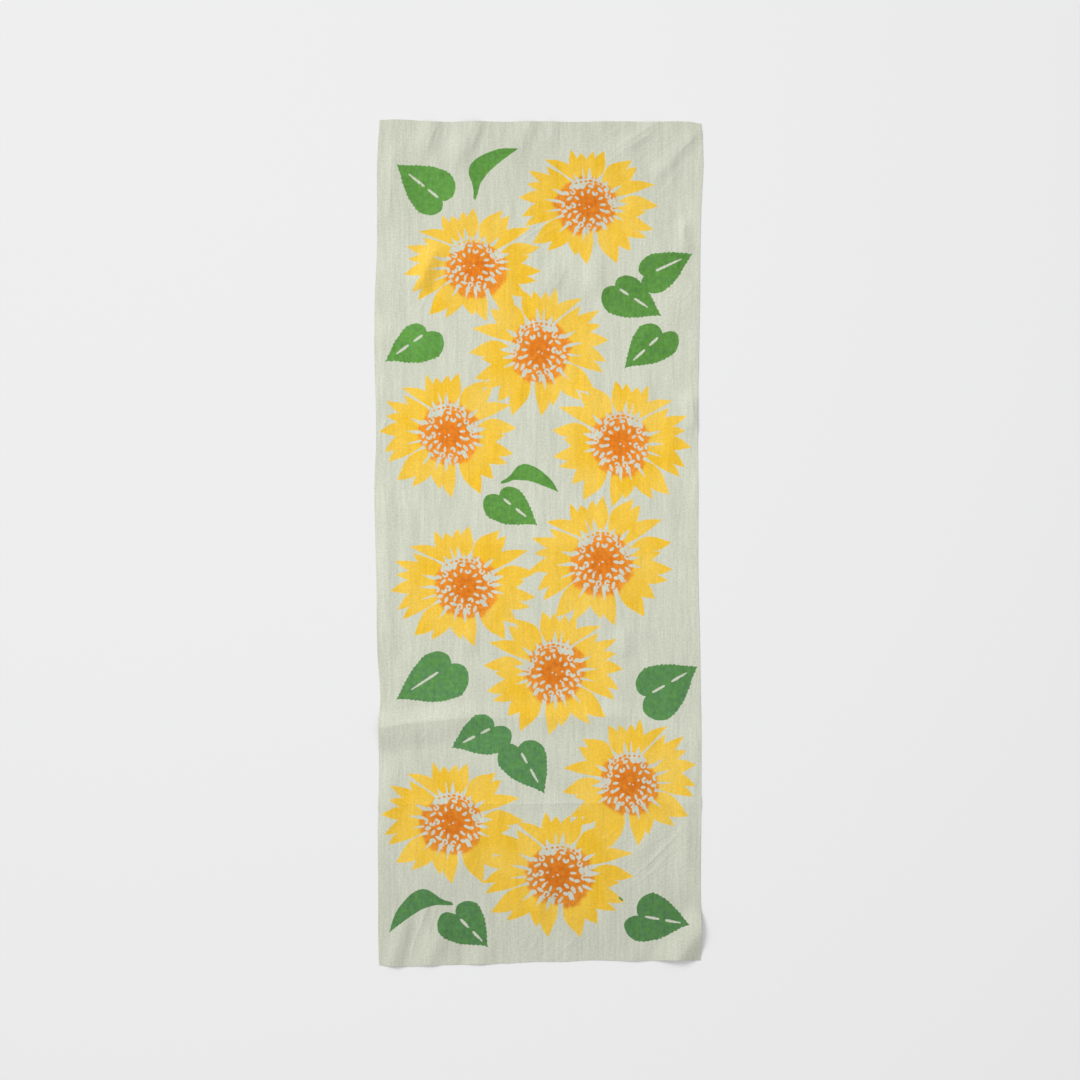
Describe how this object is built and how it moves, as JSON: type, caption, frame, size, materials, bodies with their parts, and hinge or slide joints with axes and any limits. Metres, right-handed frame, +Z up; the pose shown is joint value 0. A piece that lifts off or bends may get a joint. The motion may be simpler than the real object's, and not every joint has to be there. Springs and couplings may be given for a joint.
{
  "type": "tenugui towel",
  "caption": "Plain-woven dyed cotton hand towel, one long narrow sheet with raw-cut ends, lying flat with soft folds.",
  "frame": {"origin": "on the surface it lies on, under the middle of its outline", "axes": "+X across the cloth, +Y along it towards its top end, +Z up from the surface, out of its face"},
  "size_m": [0.3513, 0.9052, 0.0075],
  "materials": {
    "dyed_cotton": "matte plain-woven cotton, stencil-dyed through with yellow flowers and green leaves on a pale grey-green ground"
  },
  "bodies": {
    "root": {"tenugui_cloth": "dyed_cotton"}
  },
  "joints": []
}
